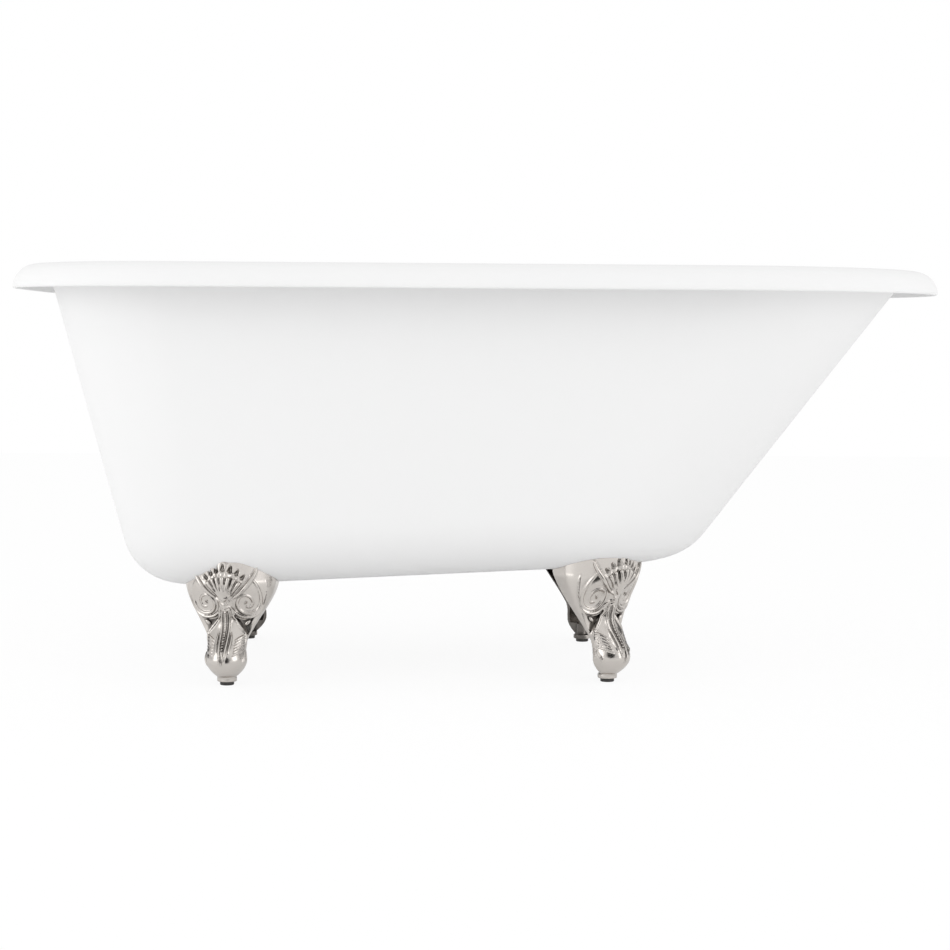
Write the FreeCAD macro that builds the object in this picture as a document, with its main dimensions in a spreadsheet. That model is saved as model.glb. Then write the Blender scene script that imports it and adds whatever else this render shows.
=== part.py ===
import FreeCAD, Part
import Sketcher
import math
import os
from FreeCAD import Placement, Rotation, Vector

# A cast-iron clawfoot bathtub: one enamelled shell with a rolled rim, standing on four cast feet.
# Each foot hangs from a stud screwed into a boss under the shell, and has a screw-in leveller.
# Frame: origin on the floor under the middle of the rim, +X towards the sloped end, +Z up.
# Millimetres and degrees throughout.

SIZES = [
    # rolled rim
    ("rim_length", 1372, "over the lip, drain end to sloped end"),
    ("rim_width", 762, "over the lip"),
    ("rim_top", 596, "height of the crest above the floor"),
    ("rim_drop", 35, "crest down to the lower edge of the lip"),
    ("rim_corner", 245, "plan radius of the lip's corners at the drain end"),
    ("rim_end_flat", 5, "straight stretch in the middle of the rounded end"),
    ("roll_radius", 34, "round of the lip, seen in section"),
    ("roll_wall", 6, "metal in the roll, which is open underneath"),
    ("crest_radius", 26, "round from the inner wall up to the crest"),
    ("brim_climb", 2.6, "cut of the inside runs on over the crest"),
    # shell walls
    ("wall", 7, "iron and enamel"),
    ("drain_overhang", 58, "lip out from the wall, drain end"),
    ("side_overhang", 68, "lip out from the wall, sides"),
    ("slope_overhang", 69, "lip out from the wall, sloped end"),
    ("drain_lean", 16.6, "drain-end wall, off vertical"),
    ("side_lean", 3.2, "side walls, off vertical"),
    ("slope_lean", 39.3, "backrest wall, off vertical"),
    ("wall_corner", 190, "plan radius at the drain end, level with the crest"),
    ("base_height", 133.5, "underside above the floor, below the drain-end wall"),
    ("base_rise", 2.75, "underside climbs towards the sloped end"),
    ("base_round", 90, "round between the walls and the underside"),
    ("base_drain_corner", 80, "plan radius where the drain-end walls meet the underside"),
    ("base_slope_corner", 180, "plan radius where the sloped walls meet the underside"),
    ("flat_drain_corner", 55, "plan radius of the flat underside, drain end"),
    ("flat_slope_corner", 125, "plan radius of the flat underside, sloped end"),
    # outlets
    ("drain_hole", 51, "diameter of the waste outlet"),
    ("drain_setback", 130, "outlet from the foot of the drain-end wall"),
    ("overflow_hole", 57, "diameter of the overflow outlet"),
    ("overflow_height", 478, "centre above the floor, on the outer face"),
    ("bore_run", 60, "length of the cut for an outlet, centred on the shell"),
    # where the feet stand
    ("drain_foot_setback", 315, "levellers of the drain-end feet from that end of the lip"),
    ("drain_foot_inset", 131, "and in from the lip's side"),
    ("drain_foot_turn", 10, "turned from straight sideways towards the drain end"),
    ("slope_foot_setback", 512, "levellers under the backrest from that end of the lip"),
    ("slope_foot_inset", 165, "and in from the lip's side"),
    ("slope_foot_turn", 38, "turned from straight sideways towards the sloped end"),
    ("seat_gap", 0.3, "between the shell and the top edge of a foot"),
    # foot casting, in its own frame: outward, sideways, up from the floor
    ("foot_wall", 5, "metal"),
    ("foot_top", 205, "uncut height of the pattern, before it is fitted to the shell"),
    ("collar_radius", 14, "round boss under the ball"),
    ("collar_height", 12, "top of the collar above the floor"),
    ("collar_overlap", 2, "the ball starts this far below the collar's top"),
    ("ball_foot_radius", 10, "of the ball where it starts, inside the collar"),
    ("ball_height", 37, "middle of the ball above the floor"),
    ("ball_half_width", 29.5, "of the egg-shaped ball"),
    ("ball_reach", 36, "front of the ball from the leveller"),
    ("ball_back", -1, "flat back of the ball from the leveller"),
    ("neck_height", 90, "narrowest place, between the ball and the shield"),
    ("neck_half_width", 15, "at that place"),
    ("neck_reach", 7, "front of the neck from the leveller"),
    ("neck_back", 20, "back of the neck behind the leveller"),
    ("chest_height", 150, "widest part of the shield"),
    ("chest_half_width", 66, "of the shield there"),
    ("chest_reach", 26, "front of the shield there"),
    ("palm_half_width", 25, "raised middle of the shield, under the palmette"),
    ("palm_reach", 31, "front of that raised middle"),
    ("chest_back", 46, "rear edge of the shield's returns"),
    ("chest_shoulder", 22, "where the returns start, behind the leveller"),
    ("brow_reach", 27, "front of the shield at the top of the pattern"),
    ("palm_brow_reach", 26, "front of the raised middle there, where it has died away"),
    ("ankle_height", 54, "lower end of the shield's returns"),
    ("ankle_half_width", 27, "of the returns there"),
    ("ankle_back", 12, "back of the returns there"),
    ("shield_spread", 1.5, "power that keeps the shield narrow low down"),
    ("shield_bow", 1.6, "power that keeps the shield's front back low down"),
    ("rear_stub", 1, "least depth of a section behind its returns"),
    ("open_back", 20, "hollow runs out behind the casting"),
    # fixing of a foot
    ("shelf_top", 128, "seat of the shell's boss on the foot's shelf"),
    ("shelf_thickness", 9, "ledge across the hollow"),
    ("stud_setback", 22, "stud behind the leveller"),
    ("stud_radius", 5, "10 mm thread"),
    ("stud_depth", 10, "thread in the boss"),
    ("stud_tail", 3, "stud past the nut"),
    ("boss_radius", 17, "cast under the shell"),
    ("boss_rise", 45, "boss above base_height, before the inside is cut from it"),
    ("hole_clearance", 0.5, "shelf hole and washers round the stud"),
    ("washer_radius", 12, "plain washer"),
    ("washer_thickness", 2.5, "plain washer"),
    ("lock_washer_radius", 9, "spring ring"),
    ("lock_washer_thickness", 2.5, "spring ring"),
    ("lock_washer_split", 2, "width of its split"),
    ("nut_flats", 17, "across flats"),
    ("nut_thickness", 8, "height of the nut"),
    ("end_chamfer", 1, "stud and stem ends"),
    # leveller
    ("pad_radius", 10, "round pad on the floor"),
    ("pad_thickness", 5, "floor to the collar's face, leveller wound in"),
    ("pad_chamfer", 0.8, "both edges of the pad"),
    ("pad_floor", 1.5, "under the stem's button"),
    ("button_radius", 6.5, "lower end of the stem, snapped into the pad"),
    ("button_thickness", 1.6, "height of the button"),
    ("button_neck", 4, "radius of the stem over the button"),
    ("swivel_gap", 0.05, "round the button, all sides"),
    ("stem_radius", 5, "10 mm thread"),
    ("stem_length", 27, "above the pad"),
    ("thread_gap", 0.05, "stem in its bore, and stud in its boss"),
    ("bore_post_radius", 9, "post round the bore inside the ball"),
    ("bore_land", 24, "solid metal round the bore, up from the collar's face"),
]

doc = FreeCAD.newDocument("clawfoot_bathtub")
sheet = doc.addObject("Spreadsheet::Sheet", "Sizes")
for row, (alias, value, note) in enumerate(SIZES, start=1):
    sheet.set("A%d" % row, alias)
    sheet.set("B%d" % row, str(value))
    sheet.set("C%d" % row, note)
    sheet.setAlias("B%d" % row, alias)
doc.recompute()
size = {alias: float(sheet.get(alias)) for alias, value, note in SIZES}

UP = Vector(0, 0, 1)
finished = []


def tangent(angle):
    """Tangent of an angle in degrees."""
    return math.tan(math.radians(angle))


# ---------------------------------------------------------------- plan outlines of the tub

def plan_outline(low_x, high_x, half_width, drain_radius, slope_radius, base_z, rise=0.0):
    """Closed outline: square drain end with round corners, straight sides, rounded sloped end.

    The outline lies on a plane through base_z at the origin that climbs by rise per unit of x."""
    def point(x, y):
        return Vector(x, y, base_z + rise * x)

    def corner(centre_x, centre_y, radius, start):
        """Quarter round from the start angle, anticlockwise."""
        angles = [math.radians(start + step) for step in (0, 45, 90)]
        return Part.Arc(*[point(centre_x + radius * math.cos(a), centre_y + radius * math.sin(a))
                          for a in angles]).toShape()

    slope_y = half_width - slope_radius
    drain_y = half_width - drain_radius
    slope_x = high_x - slope_radius
    drain_x = low_x + drain_radius
    edges = [
        corner(slope_x, slope_y, slope_radius, 0),
        Part.makeLine(point(slope_x, half_width), point(drain_x, half_width)),
        corner(drain_x, drain_y, drain_radius, 90),
        Part.makeLine(point(low_x, drain_y), point(low_x, -drain_y)),
        corner(drain_x, -drain_y, drain_radius, 180),
        Part.makeLine(point(drain_x, -half_width), point(slope_x, -half_width)),
        corner(slope_x, -slope_y, slope_radius, 270),
        Part.makeLine(point(high_x, -slope_y), point(high_x, slope_y)),
    ]
    return Part.Wire(edges)


# The walls are straight in section. They are set out from where their outer faces meet the level of
# the lip's lower edge, and lean in below it. The underside lies on a plane that climbs along +X.
lip_z = size["rim_top"] - size["rim_drop"]
wall_at_lip = {
    "drain": -size["rim_length"] / 2 + size["drain_overhang"],
    "slope": size["rim_length"] / 2 - size["slope_overhang"],
    "side": size["rim_width"] / 2 - size["side_overhang"],
}
lean = {"drain": size["drain_lean"], "slope": size["slope_lean"], "side": size["side_lean"]}
outward = {"drain": -1, "slope": 1, "side": 1}
base_rise = tangent(size["base_rise"])
base_z = size["base_height"] - base_rise * (wall_at_lip["drain"] + tangent(lean["drain"])
                                           * (lip_z - size["base_height"]))


def wall_station(side, level):
    """Where a wall's outer face is at a level, 0 at the lip and falling to the underside."""
    return wall_at_lip[side] - outward[side] * tangent(lean[side]) * (lip_z - level)


def shell_outline(above, inset):
    """Outline of the shell at a height above its underside, moved in from the outer face.

    Up to the lip the planes turn from the slope of the underside to level."""
    full = lip_z - base_z
    round_radius = size["base_round"] - inset
    share = min(max((above - inset) / full, 0.0), 1.0)
    rise = base_rise * (1 - share)
    level = base_z + above
    place = {}
    rounding = {}
    for side in ("drain", "slope", "side"):
        plumb = level if side == "side" else level + rise * wall_station(side, base_z)
        height = above - inset
        corner_in = round_radius * tangent((90 - lean[side]) / 2)
        tangent_height = round_radius * (1 - math.sin(math.radians(lean[side])))
        cut_back = 0.0
        if height < tangent_height:
            bow = math.sqrt(max(2 * round_radius * height - height * height, 0.0))
            cut_back = height * tangent(lean[side]) + corner_in - bow
        rounding[side] = cut_back / corner_in
        thickness = inset / math.cos(math.radians(lean[side]))
        place[side] = wall_station(side, plumb) - outward[side] * (thickness + cut_back)
    down = min(max((size["rim_top"] - level) / (size["rim_top"] - base_z), 0.0), 1.0)
    crest_slope_radius = wall_station("side", size["rim_top"]) - size["rim_end_flat"] / 2
    drain_radius = size["wall_corner"] + down * (size["base_drain_corner"] - size["wall_corner"]) - inset
    slope_radius = crest_slope_radius + down * (size["base_slope_corner"] - crest_slope_radius) - inset
    drain_radius += rounding["side"] * (size["flat_drain_corner"] - size["base_drain_corner"])
    slope_radius += rounding["side"] * (size["flat_slope_corner"] - size["base_slope_corner"])
    return place, drain_radius, slope_radius, level, rise


def shell_wire(above, inset):
    """The same outline as a closed wire."""
    place, drain_radius, slope_radius, level, rise = shell_outline(above, inset)
    return plan_outline(place["drain"], place["slope"], place["side"], drain_radius, slope_radius,
                        level, rise)


def rounded_base(inset):
    """Solid between the flat of the underside and the level where every wall is straight."""
    round_radius = size["base_round"] - inset
    turns = (0, 15, 30, 45, 60, 75, 90)
    heights = [inset + round_radius * (1 - math.cos(math.radians(turn))) for turn in turns]
    return Part.makeLoft([shell_wire(above, inset) for above in heights], True, False)


def skin(inset, top):
    """Solid inside the shell's outer face, or inside a surface parallel to it, up to a level."""
    walls = [shell_wire(size["base_round"], inset), shell_wire(top - base_z, inset)]
    return rounded_base(inset).fuse(Part.makeLoft(walls, True, True)).removeSplitter()


def flared_outline(turn, beyond=0.0):
    """Outline of the inner wall where its flare over the crest has turned this far off vertical.

    Beyond is a further climb, straight on from there."""
    radius = size["crest_radius"]
    level = size["rim_top"] - radius * (1 - math.sin(math.radians(turn)))
    place, drain_radius, slope_radius = shell_outline(level - base_z, size["wall"])[:3]
    flare = {}
    for side in place:
        leaning = math.radians(min(lean[side], turn))
        climb = radius * (math.sin(math.radians(turn)) - math.sin(leaning))
        flare[side] = (radius * (math.cos(leaning) - math.cos(math.radians(turn)))
                       - climb * math.tan(leaning) + beyond * tangent(turn))
    return plan_outline(place["drain"] - flare["drain"], place["slope"] + flare["slope"],
                        place["side"] + flare["side"], drain_radius + flare["side"],
                        slope_radius + flare["side"], level + beyond)


def cavity():
    """The space that holds the water, with its flare, which runs out across the crest."""
    turns = (size["side_lean"], 15, 30, 45, 60, 70, 80)
    flare = [flared_outline(turn) for turn in turns]
    run_out = flared_outline(turns[-1], size["brim_climb"])
    walls = Part.makeLoft([shell_wire(size["base_round"], size["wall"]), flare[0]], True, True)
    brim = Part.makeLoft([flare[-1], run_out], True, True)
    return rounded_base(size["wall"]).fuse([walls, Part.makeLoft(flare, True, False), brim])


def lip_prism(inset, round_radius, top):
    """Solid inside the lip's outline, moved in, with its upper edge rounded."""
    half_length = size["rim_length"] / 2 - inset
    half_width = size["rim_width"] / 2 - inset
    outline = plan_outline(-half_length, half_length, half_width, size["rim_corner"] - inset,
                           half_width - size["rim_end_flat"] / 2, lip_z)
    prism = Part.Face(outline).extrude(UP * (top - lip_z))
    upper_edges = [edge for edge in prism.Edges if edge.BoundBox.ZMin > (lip_z + top) / 2]
    return prism.makeFillet(round_radius, upper_edges)


def feature(name, shape, place=None):
    """A document object for a shape that is set out point by point."""
    made = doc.addObject("Part::Feature", name)
    made.Shape = shape
    if place is not None:
        made.Placement = place
    return made


def cylinder(name, radius, height, x, y, z):
    """Cylinder with every size bound to the sheet."""
    made = doc.addObject("Part::Cylinder", name)
    made.setExpression("Radius", radius)
    made.setExpression("Height", height)
    made.setExpression("Placement.Base.x", x)
    made.setExpression("Placement.Base.y", y)
    made.setExpression("Placement.Base.z", z)
    return made


def joined(name, shapes):
    """One solid of several."""
    made = doc.addObject("Part::MultiFuse", name)
    made.Shapes = shapes
    return made


def cut(name, base, tool):
    """A solid less its tool."""
    made = doc.addObject("Part::Cut", name)
    made.Base = base
    made.Tool = tool
    return made


# ---------------------------------------------------------------- where the feet stand

# The four feet share one pattern. Each has its leveller's place on the floor, and the way it faces,
# counted from +X.
feet = []
for end, side in (("drain", -1), ("drain", 1), ("slope", -1), ("slope", 1)):
    towards_end = -1 if end == "drain" else 1
    feet.append({
        "name": end + ("_front" if side < 0 else "_back"),
        "x": "%d * (Sizes.rim_length / 2 - Sizes.%s_foot_setback)" % (towards_end, end),
        "y": "%d * (Sizes.rim_width / 2 - Sizes.%s_foot_inset)" % (side, end),
        "facing": "%d * (90 - %d * Sizes.%s_foot_turn)" % (side, towards_end, end),
    })


def behind(foot, setback):
    """Expressions for the point that lies this far behind a leveller, under the tub."""
    return ("%s - cos(%s) * %s" % (foot["x"], foot["facing"], setback),
            "%s - sin(%s) * %s" % (foot["y"], foot["facing"], setback))


def foot_place(foot):
    """A foot's frame: outward along its own +X, over its leveller."""
    worked_out = [float(sheet.evalExpression(foot[key])) for key in ("x", "y", "facing")]
    return Placement(Vector(worked_out[0], worked_out[1], 0), Rotation(UP, worked_out[2]))


# ---------------------------------------------------------------- shell

outer_skin = feature("outer_skin", skin(0.0, size["rim_top"] - size["roll_wall"]))
lip_solid = feature("lip_solid", lip_prism(0.0, size["roll_radius"], size["rim_top"]))
lip_hollow = feature("lip_hollow", lip_prism(size["roll_wall"], size["roll_radius"] - size["roll_wall"],
                                             size["rim_top"] - size["roll_wall"]))
under_roll = cut("under_roll", lip_hollow, outer_skin)
inside = feature("inside", cavity())

bosses = []
holes = []
for foot in feet:
    boss_x, boss_y = behind(foot, "Sizes.stud_setback")
    bosses.append(cylinder("boss_" + foot["name"], "Sizes.boss_radius",
                           "Sizes.base_height + Sizes.boss_rise - Sizes.shelf_top",
                           boss_x, boss_y, "Sizes.shelf_top"))
    holes.append(cylinder("stud_bore_" + foot["name"], "Sizes.stud_radius + Sizes.thread_gap",
                          "Sizes.stud_depth", boss_x, boss_y, "Sizes.shelf_top"))

wall_foot_x = ("-Sizes.rim_length / 2 + Sizes.drain_overhang"
               " + tan(Sizes.drain_lean) * (Sizes.rim_top - Sizes.rim_drop - Sizes.base_height)")
holes.append(cylinder("waste_hole", "Sizes.drain_hole / 2", "Sizes.bore_run",
                      wall_foot_x + " + Sizes.drain_setback", "0",
                      "Sizes.base_height - Sizes.bore_run / 2"))
overflow_x = ("-Sizes.rim_length / 2 + Sizes.drain_overhang"
              " + tan(Sizes.drain_lean) * (Sizes.rim_top - Sizes.rim_drop - Sizes.overflow_height)")
overflow_bore = cylinder("overflow_bore", "Sizes.overflow_hole / 2", "Sizes.bore_run",
                         overflow_x + " - Sizes.bore_run / 2 * cos(Sizes.drain_lean)", "0",
                         "Sizes.overflow_height - Sizes.bore_run / 2 * sin(Sizes.drain_lean)")
overflow_bore.Placement.Rotation = Rotation(Vector(0, 1, 0), 90 - size["drain_lean"])
overflow_bore.setExpression("Placement.Rotation.Angle", "90 - Sizes.drain_lean")
holes.append(overflow_bore)

shell_blank = joined("shell_blank", [outer_skin, lip_solid] + bosses)
shell_rolled = cut("shell_rolled", shell_blank, under_roll)
shell_open = cut("shell_open", shell_rolled, inside)
tub_shell = cut("tub_shell", shell_open, joined("shell_holes", holes))
finished.append(tub_shell)

# ---------------------------------------------------------------- foot castings


def eased(start, end, share):
    """Between two values, leaving and arriving level."""
    return start + (end - start) * (1 - math.cos(math.pi * share)) / 2


def swelling(start, end, share):
    """Between two values, round as a quarter of a sine wave: steep at first, arriving level."""
    return start + (end - start) * math.sin(math.pi / 2 * share)


def foot_section(height, reach, half_width, shoulder, back):
    """Flat back, straight returns and a half-oval front, at one height of a foot."""
    middle = Vector(-shoulder, 0, height)
    right = Vector(-shoulder, half_width, height)
    left = Vector(-shoulder, -half_width, height)
    front = Vector(reach, 0, height)
    deeper = reach + shoulder > half_width
    oval = Part.Ellipse(front, right, middle) if deeper else Part.Ellipse(right, front, middle)
    edges = []
    for first, last in ((left, front), (front, right)):
        start = oval.parameter(first)
        end = oval.parameter(last)
        if deeper:
            end += 2 * math.pi * (end < start)
            edges.append(Part.ArcOfEllipse(oval, start, end).toShape())
        else:
            start += 2 * math.pi * (start < end)
            edges.append(Part.ArcOfEllipse(oval, end, start).toShape())
    rear_right = Vector(-back, half_width, height)
    rear_left = Vector(-back, -half_width, height)
    edges += [Part.makeLine(right, rear_right), Part.makeLine(rear_right, rear_left),
              Part.makeLine(rear_left, left)]
    return Part.Wire(Part.__sortEdges__(edges))


def rear(back, inset):
    """Rear of a section behind its returns. The hollow runs on, so that the casting's back is open."""
    return back + size["rear_stub"] + (size["open_back"] if inset else 0.0)


def leg(inset):
    """Ball, neck and the raised middle of the shield as one stem. An inset stem is its hollow."""
    spans = (
        ("collar", "ball", (0.0, 0.2, 0.5), swelling),
        ("ball", "neck", (0.0, 0.25, 0.5, 0.75), eased),
        ("neck", "chest", (0.0, 0.25, 0.5, 0.75), eased),
        ("chest", "brow", (0.0, 1 / 3, 2 / 3, 1.0), eased),
    )
    heights = {"collar": size["collar_height"] - size["collar_overlap"], "ball": size["ball_height"],
               "neck": size["neck_height"], "chest": size["chest_height"], "brow": size["foot_top"]}
    half_widths = {"collar": size["ball_foot_radius"], "ball": size["ball_half_width"],
                   "neck": size["neck_half_width"], "chest": size["palm_half_width"],
                   "brow": size["palm_half_width"]}
    reaches = {"collar": size["ball_foot_radius"], "ball": size["ball_reach"],
               "neck": size["neck_reach"], "chest": size["palm_reach"], "brow": size["palm_brow_reach"]}
    backs = {"collar": size["ball_back"], "ball": size["ball_back"], "neck": size["neck_back"],
             "chest": size["chest_shoulder"], "brow": size["chest_shoulder"]}
    wires = []
    for low, high, shares, curve in spans:
        for share in shares:
            height = heights[low] + share * (heights[high] - heights[low])
            shoulder = eased(backs[low], backs[high], share)
            wires.append(foot_section(height, curve(reaches[low], reaches[high], share) - inset,
                                      curve(half_widths[low], half_widths[high], share) - inset,
                                      shoulder, rear(shoulder, inset)))
    return Part.makeLoft(wires, True, False)


def shield(inset):
    """Curved plate that carries the palmette and volutes, with its returns. Inset, its hollow."""
    span = size["chest_height"] - size["ankle_height"]
    wires = []
    for share in (0.0, 1 / 6, 1 / 3, 1 / 2, 2 / 3, 5 / 6, 1.0):
        spread = math.sin(math.pi / 2 * share ** size["shield_spread"])
        half_width = size["ankle_half_width"] + spread * (size["chest_half_width"]
                                                          - size["ankle_half_width"])
        reach = eased(-size["ankle_back"] / 2, size["chest_reach"], share ** size["shield_bow"])
        shoulder = size["ankle_back"] + share * (size["chest_shoulder"] - size["ankle_back"])
        back = size["ankle_back"] + share * (size["chest_back"] - size["ankle_back"])
        wires.append(foot_section(size["ankle_height"] + share * span, reach - inset, half_width - inset,
                                  shoulder, rear(back, inset)))
    for share in (0.33, 0.67, 1.0):
        height = size["chest_height"] + share * (size["foot_top"] - size["chest_height"])
        reach = eased(size["chest_reach"], size["brow_reach"], share)
        wires.append(foot_section(height, reach - inset, size["chest_half_width"] - inset,
                                  size["chest_shoulder"], rear(size["chest_back"], inset)))
    return Part.makeLoft(wires, True, False)


def foot_pattern():
    """One foot before it is fitted to the shell: a casting open at the back, with a shelf and a bore."""
    solid_below = size["pad_thickness"] + size["bore_land"]
    reach = size["chest_half_width"] + size["chest_back"]
    hollow = leg(size["foot_wall"]).fuse(shield(size["foot_wall"]))
    hollow = hollow.cut(Part.makeBox(2 * reach, 2 * reach, solid_below, Vector(-reach, -reach, 0)))
    shelf = Part.makeBox(2 * reach, 2 * reach, size["shelf_thickness"],
                         Vector(-reach, -reach, size["shelf_top"] - size["shelf_thickness"]))
    hollow = hollow.cut(shelf)
    collar = Part.makeCylinder(size["collar_radius"], size["collar_height"] - size["pad_thickness"],
                               UP * size["pad_thickness"])
    bore_post = Part.makeCylinder(size["bore_post_radius"], size["bore_land"], UP * size["pad_thickness"])
    bore = Part.makeCylinder(size["stem_radius"] + size["thread_gap"], 2 * size["bore_land"])
    stud_hole = Part.makeCylinder(size["stud_radius"] + size["hole_clearance"], size["foot_top"],
                                  Vector(-size["stud_setback"], 0,
                                         size["shelf_top"] - 2 * size["shelf_thickness"]))
    return leg(0.0).fuse([shield(0.0), collar]).cut(hollow).fuse(bore_post).cut([bore, stud_hole])


pattern = foot_pattern()
seat_skin = feature("seat_skin", skin(-size["seat_gap"], size["rim_top"] - size["roll_wall"]))
for foot in feet:
    blank = feature("pattern_" + foot["name"], pattern, foot_place(foot))
    foot["casting"] = cut("foot_" + foot["name"], blank, seat_skin)
    finished.append(foot["casting"])

# ---------------------------------------------------------------- turned and punched pieces


def origin_plane(body, role):
    """One of a body's own origin planes."""
    return [plane for plane in body.Origin.OriginFeatures if plane.Role == role][0]


def sketch_outline(body, name, role, corners):
    """Sketch of a closed polygon, each corner held at two expressions of the sizes."""
    sketch = body.newObject("Sketcher::SketchObject", name)
    sketch.AttachmentSupport = [(origin_plane(body, role), "")]
    sketch.MapMode = "FlatFace"
    places = [Vector(float(sheet.evalExpression(x)), float(sheet.evalExpression(y)), 0)
              for x, y in corners]
    count = len(places)
    for index in range(count):
        sketch.addGeometry(Part.LineSegment(places[index], places[(index + 1) % count]))
    for index in range(count):
        sketch.addConstraint(Sketcher.Constraint("Coincident", index, 2, (index + 1) % count, 1))
    for index, (x, y) in enumerate(corners):
        for axis, kind, expression, place in ((-2, "DistanceX", x, places[index].x),
                                              (-1, "DistanceY", y, places[index].y)):
            if expression == "0":
                sketch.addConstraint(Sketcher.Constraint("PointOnObject", index, 1, axis))
            else:
                held = sketch.addConstraint(Sketcher.Constraint(kind, -1, 1, index, 1, place))
                sketch.setExpression("Constraints[%d]" % held, expression)
    return sketch


def sketch_circle(sketch, radius):
    """A circle about the sketch's origin."""
    drawn = sketch.addGeometry(Part.Circle(Vector(), UP, float(sheet.evalExpression(radius))))
    sketch.addConstraint(Sketcher.Constraint("Coincident", drawn, 3, -1, 1))
    held = sketch.addConstraint(Sketcher.Constraint("Radius", drawn, float(sheet.evalExpression(radius))))
    sketch.setExpression("Constraints[%d]" % held, radius)


def placed_body(name, x, y, z):
    """A body over a point of the floor, bound to the sizes."""
    body = doc.addObject("PartDesign::Body", name)
    body.setExpression("Placement.Base.x", x)
    body.setExpression("Placement.Base.y", y)
    body.setExpression("Placement.Base.z", z)
    finished.append(body)
    return body


def turned(name, corners, x, y, z="0"):
    """Round piece, from half its section: corners are radius and height."""
    body = placed_body(name, x, y, z)
    sketch = sketch_outline(body, name + "_section", "XZ_Plane", corners)
    round_form = body.newObject("PartDesign::Revolution", name + "_round")
    round_form.Profile = sketch
    round_form.ReferenceAxis = (sketch, ["V_Axis"])
    round_form.Angle = 360
    return body


def stud(foot, x, y):
    """Threaded rod in the boss, through the shelf, with its ends chamfered."""
    low = ("Sizes.shelf_top - Sizes.shelf_thickness - Sizes.washer_thickness"
           " - Sizes.lock_washer_thickness - Sizes.nut_thickness - Sizes.stud_tail")
    high = "Sizes.shelf_top + Sizes.stud_depth"
    tip = "Sizes.stud_radius - Sizes.end_chamfer"
    return turned("stud_" + foot["name"], [
        ("0", low), (tip, low), ("Sizes.stud_radius", low + " + Sizes.end_chamfer"),
        ("Sizes.stud_radius", high + " - Sizes.end_chamfer"), (tip, high), ("0", high)], x, y)


def washer(foot, x, y):
    """Plain washer under the shelf."""
    bore = "Sizes.stud_radius + Sizes.hole_clearance"
    return turned("washer_" + foot["name"], [
        (bore, "-Sizes.washer_thickness"), ("Sizes.washer_radius", "-Sizes.washer_thickness"),
        ("Sizes.washer_radius", "0"), (bore, "0")], x, y, "Sizes.shelf_top - Sizes.shelf_thickness")


def lock_washer(foot, x, y):
    """Spring ring with one split, under the plain washer."""
    body = turned("lock_washer_" + foot["name"], [
        ("Sizes.stud_radius + Sizes.hole_clearance", "-Sizes.lock_washer_thickness"),
        ("Sizes.lock_washer_radius", "-Sizes.lock_washer_thickness"),
        ("Sizes.lock_washer_radius", "0"), ("Sizes.stud_radius + Sizes.hole_clearance", "0")],
        x, y, "Sizes.shelf_top - Sizes.shelf_thickness - Sizes.washer_thickness")
    half_split = "Sizes.lock_washer_split / 2"
    gap = sketch_outline(body, "split_" + foot["name"], "XY_Plane", [
        ("0", "-" + half_split), ("2 * Sizes.lock_washer_radius", "-" + half_split),
        ("2 * Sizes.lock_washer_radius", half_split), ("0", half_split)])
    doc.recompute()
    pocket = body.newObject("PartDesign::Pocket", "split_cut_" + foot["name"])
    pocket.Profile = gap
    pocket.Midplane = True
    pocket.setExpression("Length", "4 * Sizes.lock_washer_thickness")
    return body


def nut(foot, x, y):
    """Hexagon nut that draws the foot up to the boss."""
    body = placed_body("nut_" + foot["name"], x, y, "Sizes.shelf_top - Sizes.shelf_thickness"
                       " - Sizes.washer_thickness - Sizes.lock_washer_thickness - Sizes.nut_thickness")
    flat = "Sizes.nut_flats / 2"
    point = "Sizes.nut_flats / sqrt(3)"
    half_point = "Sizes.nut_flats / sqrt(3) / 2"
    outline = sketch_outline(body, "hexagon_" + foot["name"], "XY_Plane", [
        (point, "0"), (half_point, flat), ("-" + half_point, flat),
        ("-" + point, "0"), ("-" + half_point, "-" + flat), (half_point, "-" + flat)])
    sketch_circle(outline, "Sizes.stud_radius + Sizes.thread_gap")
    pad = body.newObject("PartDesign::Pad", "hexagon_pad_" + foot["name"])
    pad.Profile = outline
    pad.setExpression("Length", "Sizes.nut_thickness")
    return body


def leveller_pad(foot):
    """Moulded pad on the floor, with a pocket for the stem's button and a neck over it."""
    radius = "Sizes.pad_radius"
    chamfered = "Sizes.pad_radius - Sizes.pad_chamfer"
    pocket = "Sizes.button_radius + Sizes.swivel_gap"
    neck = "Sizes.button_neck + Sizes.swivel_gap"
    roof = "Sizes.pad_floor + Sizes.button_thickness + 2 * Sizes.swivel_gap"
    return turned("leveller_pad_" + foot["name"], [
        ("0", "0"), (chamfered, "0"), (radius, "Sizes.pad_chamfer"),
        (radius, "Sizes.pad_thickness - Sizes.pad_chamfer"), (chamfered, "Sizes.pad_thickness"),
        (neck, "Sizes.pad_thickness"), (neck, roof), (pocket, roof), (pocket, "Sizes.pad_floor"),
        ("0", "Sizes.pad_floor")], foot["x"], foot["y"])


def leveller_stem(foot):
    """Screw of the leveller, with the button that snaps into the pad."""
    low = "Sizes.pad_floor + Sizes.swivel_gap"
    top = "Sizes.pad_thickness + Sizes.stem_length"
    button_top = low + " + Sizes.button_thickness"
    return turned("leveller_stem_" + foot["name"], [
        ("0", low), ("Sizes.button_radius", low), ("Sizes.button_radius", button_top),
        ("Sizes.button_neck", button_top), ("Sizes.button_neck", "Sizes.pad_thickness"),
        ("Sizes.stem_radius", "Sizes.pad_thickness + Sizes.end_chamfer"),
        ("Sizes.stem_radius", top + " - Sizes.end_chamfer"),
        ("Sizes.stem_radius - Sizes.end_chamfer", top), ("0", top)], foot["x"], foot["y"])


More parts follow.
